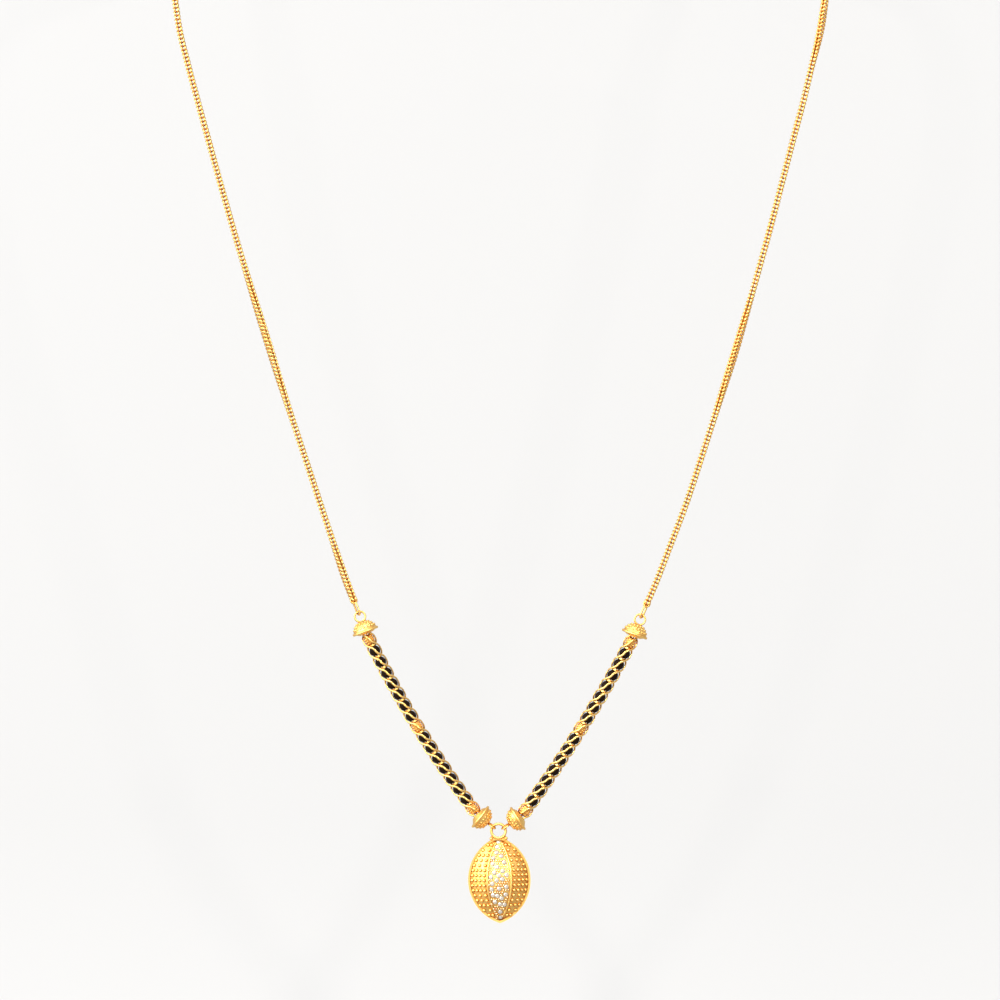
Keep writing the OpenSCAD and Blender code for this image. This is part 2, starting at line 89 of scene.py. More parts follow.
# What the lights face, and each light's name, place, size, power and colour
LIGHT_TARGET = (0, -FRONT_DEPTH, -0.12)
LIGHTS = (
    ("key_light", (-1.3, -0.9, 0.4), 1.6, 32, (1, 0.99, 0.96)),
    ("left_spark", (-0.35, -1.4, 0.3), 0.14, 7, (1, 0.96, 0.88)),
    ("right_spark", (0.55, -1.3, 0.3), 0.14, 8, (1, 0.96, 0.88)),
    ("top_light", (-0.1, -0.5, 0.95), 0.5, 5, (1, 1, 1)))

# Each gold finish: its colour, the roughness of its smooth and of its rough places, the scale of its clouds,
# its share of deep gold, the strength of its grain, the distance over which a crevice's painted shade is
# felt, and the openness at which the gold is all painted shade
GOLD_FINISHES = {
    "polished_gold": ("gold", 0.22, 0.36, 500, 0.5, 0.1, 0.3 * MM, 0.35),
    "granulated_gold": ("gold", 0.32, 0.46, 700, 0.6, 0.15, 0.7 * MM, 0.64),
    "pale_gold": ("pale_gold", 0.25, 0.35, 700, 0.3, 0.1, 0.4 * MM, 0.3),
    "chain_gold": ("gold", 0.24, 0.4, 300, 0.5, 0.1, 0.5 * MM, 0.22)}

# The chain's own route up each side, in the plane of the front: across and up, in metres
ROUTE_LEFT = [
    (-0.031, -0.1375), (-0.0332, -0.131), (-0.0362, -0.122), (-0.0395, -0.112), (-0.0428, -0.102),
    (-0.0458, -0.0925), (-0.0486, -0.0835), (-0.0512, -0.075), (-0.0536, -0.067), (-0.056, -0.0585),
    (-0.0582, -0.0505), (-0.0604, -0.0425), (-0.0624, -0.035), (-0.064, -0.0285), (-0.065, -0.022)]
ROUTE_RIGHT = [
    (0.0312, -0.1385), (0.0339, -0.1315), (0.0373, -0.1225), (0.0406, -0.1125), (0.0438, -0.1025),
    (0.0468, -0.093), (0.0496, -0.0835), (0.052, -0.075), (0.0542, -0.067), (0.0564, -0.0585),
    (0.0586, -0.05), (0.0606, -0.0425), (0.0624, -0.035), (0.064, -0.0285), (0.065, -0.022)]
# The same route over the shoulder and round the nape, for the right side: across, back and up,
# where back runs from 0 at the front to 1 at the nape
ROUTE_BACK = [
    (0.0656, 0.01, -0.0165), (0.066, 0.05, -0.011), (0.0662, 0.12, -0.0062), (0.0662, 0.2, -0.0028),
    (0.0658, 0.28, -0.0009), (0.0646, 0.37, 0), (0.0622, 0.47, 0), (0.0582, 0.58, 0),
    (0.0524, 0.69, 0), (0.045, 0.79, 0), (0.036, 0.875, 0), (0.0265, 0.94, 0), (0.017, 0.98, 0)]
# Where a chain turns to show its side: height in metres, turn in degrees, and half length in metres
CHAIN_TURNS = {
    "left": [(-0.09, 50, 0.010), (-0.138, 35, 0.006)],
    "right": [(-0.093, -50, 0.008), (-0.026, -45, 0.006)]}


class FoxtailSizes(bpy.types.PropertyGroup):
    """Sizes of the foxtail chain."""

    pitch: bpy.props.FloatProperty(
        name="Pitch", description="Distance from one pair of links to the next",
        default=0.78 * MM, min=0.5 * MM, max=1.5 * MM, precision=5, unit="LENGTH")
    thickness: bpy.props.FloatProperty(
        name="Thickness", description="Thickness of the chain",
        default=1.5 * MM, min=1 * MM, max=2.4 * MM, precision=5, unit="LENGTH")
    wire: bpy.props.FloatProperty(
        name="Wire", description="Wire of a link",
        default=0.44 * MM, min=0.2 * MM, max=0.6 * MM, precision=5, unit="LENGTH")
    tilt: bpy.props.FloatProperty(
        name="Tilt", description="Lean of a link out of the chain's direction",
        default=math.radians(22), min=0, max=math.radians(60), unit="ROTATION")
    reach: bpy.props.FloatProperty(
        name="Reach", description="Length of a link along the chain, in pitches",
        default=1.5, min=1.2, max=2.4)
    end_ring: bpy.props.FloatProperty(
        name="End ring", description="Diameter of the ring at a chain's end, to the middle of its wire",
        default=1.2 * MM, min=0.8 * MM, max=2 * MM, precision=5, unit="LENGTH")


class CageSizes(bpy.types.PropertyGroup):
    """Sizes of the wire cages round the beads."""

    wires: bpy.props.IntProperty(
        name="Wires", description="Number of wires in a cage", default=4, min=3, max=5)
    wire: bpy.props.FloatProperty(
        name="Wire width", description="Width of a flattened wire",
        default=0.42 * MM, min=0.3 * MM, max=0.54 * MM, precision=5, unit="LENGTH")
    thick: bpy.props.FloatProperty(
        name="Wire thickness", description="Thickness of a flattened wire",
        default=0.32 * MM, min=0.2 * MM, max=0.36 * MM, precision=5, unit="LENGTH")
    gap: bpy.props.FloatProperty(
        name="Gap", description="Gap between a bead and a wire",
        default=0.02 * MM, min=0.01 * MM, max=0.1 * MM, precision=5, unit="LENGTH")
    waist: bpy.props.FloatProperty(
        name="Waist", description="Distance from the strand's axis to a wire between two beads",
        default=1.1 * MM, min=1.06 * MM, max=1.15 * MM, precision=5, unit="LENGTH")
    end: bpy.props.FloatProperty(
        name="End", description="Distance from the strand's axis to a wire in a cap",
        default=0.9 * MM, min=0.74 * MM, max=0.95 * MM, precision=5, unit="LENGTH")
    turn: bpy.props.FloatProperty(
        name="Turn", description="Turn of a wire from one bead to the next",
        default=math.radians(90), min=math.radians(60), max=math.radians(110), unit="ROTATION")
    ease: bpy.props.FloatProperty(
        name="Ease", description="Share by which a wire turns slower over a bead",
        default=0.75, min=0, max=0.8, subtype="FACTOR")
    phase: bpy.props.FloatProperty(
        name="Phase", description="Place of the front wire round a bead, where 90 degrees is in front",
        default=math.radians(85), unit="ROTATION")
    tail: bpy.props.FloatProperty(
        name="Tail", description="Length of a wire inside each cap",
        default=0.7 * MM, min=0.3 * MM, max=1 * MM, precision=5, unit="LENGTH")


class GoldBeadSizes(bpy.types.PropertyGroup):
    """Sizes of the granulated gold beads in the strands."""

    height: bpy.props.FloatProperty(
        name="Height", description="Height of a gold bead along its bore",
        default=2.1 * MM, min=1.6 * MM, max=2.2 * MM, precision=5, unit="LENGTH")
    body: bpy.props.FloatProperty(
        name="Body", description="Radius of the barrel under the granules, as a share of the bead's radius",
        default=0.9, min=0.7, max=0.95, subtype="FACTOR")
    bore: bpy.props.FloatProperty(
        name="Bore", description="Diameter of the bore",
        default=0.5 * MM, min=0.4 * MM, max=0.7 * MM, precision=5, unit="LENGTH")
    granule: bpy.props.FloatProperty(
        name="Granule", description="Diameter of a granule on the barrel",
        default=0.4 * MM, min=0.2 * MM, max=0.5 * MM, precision=5, unit="LENGTH")
    rings: bpy.props.IntProperty(
        name="Rings", description="Rings of granules on a bead", default=4, min=2, max=5)


class StoneSizes(bpy.types.PropertyGroup):
    """Cut of the pave stones and the granules that hold them."""

    table: bpy.props.FloatProperty(
        name="Table", description="Width of the table as a share of the stone",
        default=0.56, min=0.4, max=0.7, subtype="FACTOR")
    crown: bpy.props.FloatProperty(
        name="Crown", description="Height of a stone above its girdle",
        default=0.14 * MM, min=0.08 * MM, max=0.2 * MM, precision=5, unit="LENGTH")
    pavilion: bpy.props.FloatProperty(
        name="Pavilion", description="Depth of a stone below its girdle",
        default=0.3 * MM, min=0.2 * MM, max=0.4 * MM, precision=5, unit="LENGTH")
    prong: bpy.props.FloatProperty(
        name="Prong", description="Diameter of a prong granule",
        default=0.42 * MM, min=0.2 * MM, max=0.5 * MM, precision=5, unit="LENGTH")
    spacing: bpy.props.FloatProperty(
        name="Prong spacing", description="Distance between two prongs, in prongs",
        default=1.15, min=1, max=3)
    overlap: bpy.props.FloatProperty(
        name="Prong clearance",
        description="Least distance from a prong's middle to a stone's edge, in prongs",
        default=0.3, min=0, max=1)
    field: bpy.props.FloatProperty(
        name="Field", description="Width of the field between the ridges, at the pendant's waist",
        default=4.2 * MM, min=3 * MM, max=6 * MM, precision=5, unit="LENGTH")


class FinishColours(bpy.types.PropertyGroup):
    """Colours of the gold, the beads and the stones."""

    gold: bpy.props.FloatVectorProperty(
        name="Gold", description="Colour of polished gold",
        default=(1, 0.67, 0.22), size=3, min=0, max=1, subtype="COLOR")
    gold_deep: bpy.props.FloatVectorProperty(
        name="Deep gold", description="Colour of gold in worn and soldered places",
        default=(0.95, 0.5, 0.11), size=3, min=0, max=1, subtype="COLOR")
    # Painted shade: a dark orange-brown that is mixed into the gold where ambient occlusion finds crevices
    # between granules and links
    crevice_shade: bpy.props.FloatVectorProperty(
        name="Crevice_Shade", description="Colour of gold deep between granules and links",
        default=(0.66, 0.27, 0.04), size=3, min=0, max=1, subtype="COLOR")
    pale_gold: bpy.props.FloatVectorProperty(
        name="Pale gold", description="Colour of the small granules between the stones",
        default=(1, 0.8, 0.5), size=3, min=0, max=1, subtype="COLOR")
    bead: bpy.props.FloatVectorProperty(
        name="Bead", description="Colour of a black bead",
        default=(0.008, 0.005, 0.004), size=3, min=0, max=1, subtype="COLOR")
    stone: bpy.props.FloatVectorProperty(
        name="Stone", description="Colour of a pave stone",
        default=(0.7, 0.66, 0.6), size=3, min=0, max=1, subtype="COLOR")


class StageSizes(bpy.types.PropertyGroup):
    """The camera, the backdrop and the lights."""

    view_width: bpy.props.FloatProperty(
        name="View width", description="Width that the camera takes in at the plane of the front",
        default=0.2, min=0.05, max=1, unit="LENGTH")
    view_height: bpy.props.FloatProperty(
        name="View height", description="Height of the camera",
        default=-0.122, unit="LENGTH")
    distance: bpy.props.FloatProperty(
        name="Distance", description="Distance from the camera to the plane of the front",
        default=1.5, min=0.5, max=5, unit="LENGTH")
    wall_y: bpy.props.FloatProperty(
        name="Wall", description="Place of the backdrop behind the nape",
        default=0.03, min=0.01, max=1, unit="LENGTH")
    floor_z: bpy.props.FloatProperty(
        name="Floor", description="Height of the floor under the pendant",
        default=-0.34, max=-0.25, unit="LENGTH")
    backdrop: bpy.props.FloatVectorProperty(
        name="Backdrop", description="Colour of the floor and the backdrop",
        default=(0.2, 0.2, 0.2), size=3, min=0, max=1, subtype="COLOR")
    glow: bpy.props.FloatProperty(
        name="Glow", description="Light that the backdrop gives off itself",
        default=0.54, min=0, max=1)
    mirrored_glow: bpy.props.FloatProperty(
        name="Mirrored glow", description="The same light as the polished parts mirror it",
        default=0.25, min=0, max=1)


class MangalsutraSettings(bpy.types.PropertyGroup):
    """All sizes and colours of the scene."""

    foxtail: bpy.props.PointerProperty(type=FoxtailSizes)
    cage: bpy.props.PointerProperty(type=CageSizes)
    gold_bead: bpy.props.PointerProperty(type=GoldBeadSizes)
    stones: bpy.props.PointerProperty(type=StoneSizes)
    colours: bpy.props.PointerProperty(type=FinishColours)
    stage: bpy.props.PointerProperty(type=StageSizes)


def settings():
    """The scene's own sizes and colours."""
    return bpy.context.scene.mangalsutra


def add_object(name, data):
    """A new object in the scene, for a mesh, a light or a camera."""
    piece = bpy.data.objects.new(name, data)
    bpy.context.scene.collection.objects.link(piece)
    return piece


def mesh_from(name, bm, smooth=True):
    """Writes a bmesh to a new mesh and frees it."""
    for face in bm.faces:
        face.smooth = smooth
    mesh = bpy.data.meshes.new(name)
    bm.to_mesh(mesh)
    bm.free()
    return mesh


def add_copy(bm, shape, place):
    """Adds a copy of a small mesh at a place."""
    copy = shape.copy()
    copy.transform(place)
    bm.from_mesh(copy)
    bpy.data.meshes.remove(copy)


def frame_at(place, across, out, along):
    """The matrix that puts a shape's X, Y and Z along three directions, at a place."""
    turned = Matrix((across, out, along)).transposed().to_4x4()
    return Matrix.Translation(place) @ turned


def square_to(direction, along):
    """A direction turned square to another."""
    return (direction - direction.dot(along) * along).normalized()


def spread(rows):
    """Points of one smooth curve through the places in a list, by Catmull and Rom's rule."""
    ends = [2 * rows[0] - rows[1], *rows, 2 * rows[-1] - rows[-2]]
    points = []
    for a, b, c, d in zip(ends, ends[1:], ends[2:], ends[3:]):
        for step in range(CURVE_STEPS):
            t = step / CURVE_STEPS
            points.append(0.5 * (
                2 * b + (c - a) * t + (2 * a - 5 * b + 4 * c - d) * t * t
                + (3 * b - a - 3 * c + d) * t * t * t))
    points.append(rows[-1])
    return points


class Path:
    """A curve that is read by its length."""

    def __init__(self, points):
        self.points = points
        self.lengths = [0]
        for a, b in zip(points, points[1:]):
            self.lengths.append(self.lengths[-1] + (b - a).length)
        self.length = self.lengths[-1]
        self.last = 0

    def at(self, distance):
        """The place and the direction at a distance from the start."""
        distance = min(max(distance, 0), self.length)
        while self.last > 0 and self.lengths[self.last] > distance:
            self.last -= 1
        while self.last < len(self.points) - 2 and self.lengths[self.last + 1] < distance:
            self.last += 1
        a, b = self.points[self.last], self.points[self.last + 1]
        share = (distance - self.lengths[self.last]) / (b - a).length
        return a.lerp(b, share), (b - a).normalized()


def node_end(node, direction):
    """The middle of a CAD node's flat end that lies farthest along a direction."""
    corners = [v.co.copy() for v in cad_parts[node].data.vertices]
    farthest = max(corner.dot(direction) for corner in corners)
    end = [corner for corner in corners if farthest - corner.dot(direction) < END_DEPTH]
    return sum(end, Vector()) / len(end)


def node_middle(node):
    """The middle of a CAD node's box."""
    low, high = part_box(node)
    return (low + high) / 2


def chain_path(side):
    """The chain's route, from its foot over the link in the cap to its end at the clasp's link."""
    s = SIDES[side]
    front = ROUTE_LEFT if s < 0 else ROUTE_RIGHT
    places = [Vector((x, -FRONT_DEPTH, z)) for x, z in front]
    depth = FRONT_DEPTH + BACK_Y
    places += [Vector((s * x, depth * back - FRONT_DEPTH, z)) for x, back, z in ROUTE_BACK]
    chain = f"chain_{side}"
    foot = node_end(chain, (node_middle(f"cap_link_{side}") - places[0]).normalized())
    head = node_end(chain, (node_middle(f"clasp_link_{side}") - places[-1]).normalized())
    return Path(spread([foot, *places, head]))


def chain_turn(side, z):
    """The chain's own turn at a height: it twists a little here and there."""
    return sum(
        math.radians(turn) * math.exp(-((z - at) / half) ** 2) for at, turn, half in CHAIN_TURNS[side])


def wire_ring(ring, wire, around, sides):
    """A ring of wire in the XY plane."""
    bm = bmesh.new()
    start = Matrix.Translation((ring / 2, 0, 0)) @ Matrix.Rotation(math.pi / 2, 4, "X")
    bmesh.ops.create_circle(bm, cap_ends=False, segments=sides, radius=wire / 2, matrix=start)
    bmesh.ops.spin(
        bm, geom=bm.verts[:] + bm.edges[:], cent=(0, 0, 0), axis=(0, 0, 1), dvec=(0, 0, 0),
        angle=2 * math.pi, steps=around, use_merge=True, use_duplicate=False)
    bmesh.ops.recalc_face_normals(bm, faces=bm.faces[:])
    return bm


def foxtail_link(sizes):
    """One oval link: along the chain in X, and from the chain's front to its back in Y."""
    long_way = sizes.reach * sizes.pitch / math.cos(sizes.tilt) - sizes.wire
    deep_way = sizes.thickness - sizes.wire
    bm = wire_ring(long_way, sizes.wire, LINK_SECTIONS, LINK_SIDES)
    for vert in bm.verts:
        ring = math.hypot(vert.co.x, vert.co.y)
        vert.co.y += vert.co.y / ring * (deep_way - long_way) / 2
    return mesh_from("foxtail_link", bm)


def foxtail_chain(side):
    """Both rows of links of one side's chain, and its two end rings, as one mesh."""
    sizes = settings().foxtail
    path = chain_path(side)
    link = foxtail_link(sizes)
    pairs = round(path.length / sizes.pitch)
    row = sizes.thickness / 2 - sizes.wire / 2 - (sizes.reach * sizes.pitch / 2) * math.tan(sizes.tilt)
    row = max(row, sizes.wire * LEAST_ROW)
    bm = bmesh.new()
    out = FRONT
    for pair in range(pairs):
        place, along = path.at((pair + 0.5) * path.length / pairs)
        out = square_to(out, along)
        turned = Matrix.Rotation(chain_turn(side, place.z), 3, along) @ out
        across = along.cross(turned)
        for s in SIDES.values():
            lean = (math.cos(sizes.tilt) * along + math.sin(sizes.tilt) * s * across).normalized()
            add_copy(bm, link, frame_at(place + s * row * across, lean, turned, lean.cross(turned)))
    add_end_rings(bm, path, sizes)
    bpy.data.meshes.remove(link)
    return mesh_from(f"foxtail_chain_{side}", bm)


def add_end_rings(bm, path, sizes):
    """The ring at each end of a chain that holds the next link."""
    shape = mesh_from("end_ring", wire_ring(sizes.end_ring, sizes.wire, END_RING_SECTIONS, END_RING_SIDES))
    for distance, way in ((0, 1), (path.length, -1)):
        place, along = path.at(distance)
        along = way * along
        out = square_to(FRONT if way > 0 else UP, along)
        middle = place + along * (sizes.end_ring / 2 - sizes.wire)
        add_copy(bm, shape, frame_at(middle, along, along.cross(out), out))
    bpy.data.meshes.remove(shape)


def bead_names(side):
    """Every bead of a strand, from the pendant upwards."""
    names = [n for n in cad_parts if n.startswith((f"black_bead_{side}_", f"gold_bead_{side}_"))]
    return sorted(names, key=lambda name: node_middle(name).z)


def strand_axis(side):
    """The curve through the middles of a strand's beads, and on for half a pitch past each end."""
    middles = [node_middle(name) for name in bead_names(side)]
    first = middles[0] + (middles[0] - middles[1]) / 2
    last = middles[-1] + (middles[-1] - middles[-2]) / 2
    return [first, *middles, last]


def strand_place(axis, rows):
    """The place and direction after a number of rows, where a bead's middle is at a half."""
    count = len(axis) - 2
    knots = [0, *(row + 0.5 for row in range(count)), count]
    index = 0
    while index < len(knots) - 2 and knots[index + 1] <= rows:
        index += 1
    step = knots[index + 1] - knots[index]
    share = (rows - knots[index]) / step
    before, after = max(index - 1, 0), min(index + 2, len(axis) - 1)
    here, there = axis[index], axis[index + 1]
    leave = (there - axis[before]).normalized()
    arrive = (axis[after] - here).normalized()
    return here + (there - here) * share, leave.lerp(arrive, min(max(share, 0), 1)).normalized()


def wire_cage(side):
    """The flattened wires round one strand, as one mesh."""
    sizes = settings().cage
    s = SIDES[side]
    axis = strand_axis(side)
    rows_all = len(axis) - 2
    pitch = (axis[2] - axis[1]).length
    low_corner, high_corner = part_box(f"black_bead_{side}_1")
    wide = (high_corner.y - low_corner.y) / 2 + sizes.gap + sizes.thick / 2
    tail = sizes.tail / pitch
    steps = rows_all * CAGE_SECTIONS
    rows_list = [-tail, *(step / CAGE_SECTIONS for step in range(steps + 1)), rows_all + tail]
    bm = bmesh.new()
    for wire in range(sizes.wires):
        places, outs = [], []
        for rows in rows_list:
            inside = min(max(rows, 0), rows_all)
            middle, along = strand_place(axis, rows)
            low = sizes.end if inside < 0.5 or inside > rows_all - 0.5 else sizes.waist
            radius = low + (wide - low) * math.sin(math.pi * (inside % 1))
            turn = sizes.turn * (inside - 0.5 + sizes.ease * math.sin(2 * math.pi * inside) / (2 * math.pi))
            angle = sizes.phase + 2 * math.pi * wire / sizes.wires + turn
            across = -s * Vector((along.z, 0, -along.x))
            outs.append(math.cos(angle) * across + math.sin(angle) * FRONT)
            places.append(middle + radius * outs[-1])
        add_flat_wire(bm, places, outs, sizes)
    bmesh.ops.recalc_face_normals(bm, faces=bm.faces[:])
    return mesh_from(f"wire_cage_{side}", bm)


def add_flat_wire(bm, places, outs, sizes):
    """A flattened wire through a list of places, with its flat side along a list of directions."""
    last = len(places) - 1
    before = None
    for i, (place, out) in enumerate(zip(places, outs)):
        along = (places[min(i + 1, last)] - places[max(i - 1, 0)]).normalized()
        out = square_to(out, along)
        oval = Matrix.Diagonal((sizes.thick / 2, sizes.wire / 2, 1, 1))
        made = bmesh.ops.create_circle(
            bm, cap_ends=i in (0, last), segments=WIRE_SIDES, radius=1,
            matrix=frame_at(place, out, along.cross(out), along) @ oval)
        ring = list({edge for vert in made["verts"] for edge in vert.link_edges})
        if before:
            bmesh.ops.bridge_loops(bm, edges=before + ring)
        before = ring


def barrel(radius, sizes):
    """A drilled barrel about the Z axis."""
    half = sizes.height / 2
    tip = BARREL_TIP * radius
    bm = bmesh.new()
    turns = [math.pi / 2 * (step / BARREL_STEPS - 1) for step in range(2 * BARREL_STEPS + 1)]
    places = [(tip + (radius - tip) * math.cos(turn), 0, half * math.sin(turn)) for turn in turns]
    places += [(sizes.bore / 2, 0, half), (sizes.bore / 2, 0, -half)]
    verts = [bm.verts.new(place) for place in places]
    for a, b in zip(verts, verts[1:] + verts[:1]):
        bm.edges.new((a, b))
    bmesh.ops.spin(
        bm, geom=bm.verts[:] + bm.edges[:], cent=(0, 0, 0), axis=(0, 0, 1), dvec=(0, 0, 0),
        angle=2 * math.pi, steps=BARREL_SIDES, use_merge=True, use_duplicate=False)
    bmesh.ops.recalc_face_normals(bm, faces=bm.faces[:])
    return mesh_from("barrel", bm)


def granulated_bead(name):
    """A gold bead of the CAD model as a barrel with rings of granules."""
    sizes = settings().gold_bead
    low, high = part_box(name)
    radius = (high.y - low.y) / 2
    names = bead_names("left" if "left" in name else "right")
    index = names.index(name)
    below, above = names[max(index - 1, 0)], names[min(index + 1, len(names) - 1)]
    along = (node_middle(above) - node_middle(below)).normalized()
    out = square_to(FRONT, along)
    place = frame_at(node_middle(name), along.cross(out) * -1, out, along)
    bm = bmesh.new()
    body = barrel(sizes.body * radius, sizes)
    add_copy(bm, body, place)
    bpy.data.meshes.remove(body)
    grain = granule_shape(sizes.granule)
    for ring in range(sizes.rings):
        share = (ring + 0.5) / sizes.rings - 0.5
        height = share * (sizes.height - sizes.granule * 0.5)
        turn = math.asin(height / (sizes.height / 2))
        reach = sizes.body * radius * (BARREL_TIP + (1 - BARREL_TIP) * math.cos(turn)) - GRANULE_SINK
        count = math.floor(2 * math.pi * reach / sizes.granule)
        for k in range(count):
            angle = 2 * math.pi * (k + ring / 2) / count
            spot = Vector((reach * math.cos(angle), reach * math.sin(angle), height))
            add_copy(bm, grain, place @ Matrix.Translation(spot))
    bpy.data.meshes.remove(grain)
    return mesh_from(f"granulated_{name}", bm)


def granule_shape(size):
    """A small ball of few faces, for shapes that are repeated hundreds of times."""
    bm = bmesh.new()
    bmesh.ops.create_uvsphere(bm, u_segments=GRANULE_SIDES, v_segments=GRANULE_RINGS, radius=size / 2)
    return mesh_from("granule", bm)


def stone_seats():
    """The middle, the outward direction and the radius of each stone of the CAD node."""
    bm = bmesh.new()
    bm.from_mesh(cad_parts["pave_stones"].data)
    bmesh.ops.remove_doubles(bm, verts=bm.verts[:], dist=MERGE_DISTANCE)
    left = set(bm.verts)
    seats = []
    while left:
        island = grow(left.pop(), left)
        culet = deepest(island)
        rim = [edge.other_vert(culet) for edge in culet.link_edges]
        middle = sum((v.co for v in rim), Vector()) / len(rim)
        seats.append((middle, (middle - culet.co).normalized(), (rim[0].co - middle).length))
    bm.free()
    return sorted(seats, key=lambda seat: (round(seat[0].z, 6), seat[0].x))


def grow(start, left):
    """All vertices joined to one of them, taken out of a set."""
    island = [start]
    for vert in island:
        for edge in vert.link_edges:
            other = edge.other_vert(vert)
            if other in left:
                left.remove(other)
                island.append(other)
    return island


def deepest(island):
    """A stone's culet, whose edges are all of one length and which lies deepest in the pendant."""
    def unevenness(vert):
        lengths = [edge.calc_length() for edge in vert.link_edges]
        return (max(lengths) - min(lengths)) / max(lengths) - vert.co.y
    return min(island, key=unevenness)


def brilliant(radius, sizes):
    """A round brilliant about the origin, with its table towards +Z."""
    rings = [
        (8, 0, sizes.table * radius, sizes.crown),
        (8, 0.5, 0.8 * radius, 0.55 * sizes.crown),
        (16, 0, radius, 0.02 * sizes.crown),
        (16, 0, radius, -0.1 * sizes.crown),
        (8, 0.5, 0.5 * radius, -0.55 * sizes.pavilion)]
    bm = bmesh.new()
    for count, shift, ring, height in rings:
        place = Matrix.Translation((0, 0, height)) @ Matrix.Rotation(2 * math.pi * shift / count, 4, "Z")
        bmesh.ops.create_circle(bm, cap_ends=False, segments=count, radius=ring, matrix=place)
    bm.verts.new((0, 0, -sizes.pavilion))
    hull = bmesh.ops.convex_hull(bm, input=bm.verts[:])
    inside = [item for item in hull["geom_interior"] if isinstance(item, bmesh.types.BMVert)]
    bmesh.ops.delete(bm, geom=inside, context="VERTS")
    bmesh.ops.dissolve_limit(bm, angle_limit=math.radians(0.5), verts=bm.verts[:], edges=bm.edges[:])
    bmesh.ops.recalc_face_normals(bm, faces=bm.faces[:])
    return mesh_from("brilliant", bm, smooth=False)


def seat_matrix(middle, out, spin):
    """Puts a shape's Z along a stone's outward direction."""
    across = square_to(Matrix.Rotation(spin, 3, out) @ square_to(Vector((1, 0, 0)), out), out)
    return frame_at(middle, across, out.cross(across), out)


def field_places(seats, sizes):
    """Places on the field between the ridges, a prong apart and clear of every stone."""
    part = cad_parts["pendant"]
    surface = bvhtree.BVHTree.FromObject(part, bpy.context.evaluated_depsgraph_get())
    low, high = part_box("pave_stones")
    centre = (low + high) / 2
    half_h = (high.z - low.z) / 2
    step = sizes.prong * sizes.spacing
    places = []
    for row in range(-math.floor(half_h / step), math.floor(half_h / step) + 1):
        z = row * step
        half_w = sizes.field / 2 * (1 - (z / (half_h + sizes.field / 4)) ** 2)
        count = math.floor(half_w / step)
        for column in range(-count, count + 1):
            x = (column + 0.5 * (row % 2)) * step
            if abs(x) > half_w:
                continue
            start = Vector((centre.x + x, low.y - 10 * MM, centre.z + z))
            place = surface.ray_cast(start, -FRONT)[0]
            nearest = min((place - seat[0]).length - seat[2] for seat in seats)
            if nearest > sizes.prong * sizes.overlap:
                places.append(place)
    return places


def tone_group():
    """Cloudy tone and fine grain on gold: a colour, a roughness and a height."""
    group = bpy.data.node_groups.new("Gold Tone", "ShaderNodeTree")
    sockets = group.interface
    for name, kind, value in (
            ("Colour", "NodeSocketColor", (1, 1, 1, 1)), ("Deep Colour", "NodeSocketColor", (1, 1, 1, 1)),
            ("Cloud Scale", "NodeSocketFloat", 400), ("Grain Scale", "NodeSocketFloat", 4000),
            ("Smooth", "NodeSocketFloat", 0.1), ("Rough", "NodeSocketFloat", 0.3)):
        socket = sockets.new_socket(name=name, in_out="INPUT", socket_type=kind)
        socket.default_value = value
    sockets.new_socket(name="Colour", in_out="OUTPUT", socket_type="NodeSocketColor")
    sockets.new_socket(name="Roughness", in_out="OUTPUT", socket_type="NodeSocketFloat")
    sockets.new_socket(name="Height", in_out="OUTPUT", socket_type="NodeSocketFloat")
    nodes, links = group.nodes, group.links
    source = nodes.new("NodeGroupInput")
    result = nodes.new("NodeGroupOutput")
    place = nodes.new("ShaderNodeTexCoord")
    cloud = nodes.new("ShaderNodeTexNoise")
    cloud.inputs["Detail"].default_value = 4
    grain = nodes.new("ShaderNodeTexNoise")
    grain.inputs["Detail"].default_value = 2
    links.new(place.outputs["Object"], cloud.inputs["Vector"])
    links.new(place.outputs["Object"], grain.inputs["Vector"])
    links.new(source.outputs["Cloud Scale"], cloud.inputs["Scale"])
    links.new(source.outputs["Grain Scale"], grain.inputs["Scale"])
    share = nodes.new("ShaderNodeMapRange")
    share.inputs["From Min"].default_value = 0.35
    share.inputs["From Max"].default_value = 0.7
    links.new(cloud.outputs["Fac"], share.inputs["Value"])
    tint = nodes.new("ShaderNodeMix")
    tint.data_type = "RGBA"
    links.new(share.outputs["Result"], tint.inputs["Factor"])
    links.new(source.outputs["Colour"], tint.inputs["A"])
    links.new(source.outputs["Deep Colour"], tint.inputs["B"])
    rough = nodes.new("ShaderNodeMapRange")
    links.new(cloud.outputs["Fac"], rough.inputs["Value"])
    links.new(source.outputs["Smooth"], rough.inputs["To Min"])
    links.new(source.outputs["Rough"], rough.inputs["To Max"])
    links.new(tint.outputs["Result"], result.inputs["Colour"])
    links.new(rough.outputs["Result"], result.inputs["Roughness"])
    links.new(grain.outputs["Fac"], result.inputs["Height"])
    return group


def new_material(name):
    """A new material with its nodes, its links and its Principled shader."""
    material = bpy.data.materials.new(name)
    material.use_nodes = True
    shader = material.node_tree.nodes["Principled BSDF"]
    return material, material.node_tree.nodes, material.node_tree.links, shader


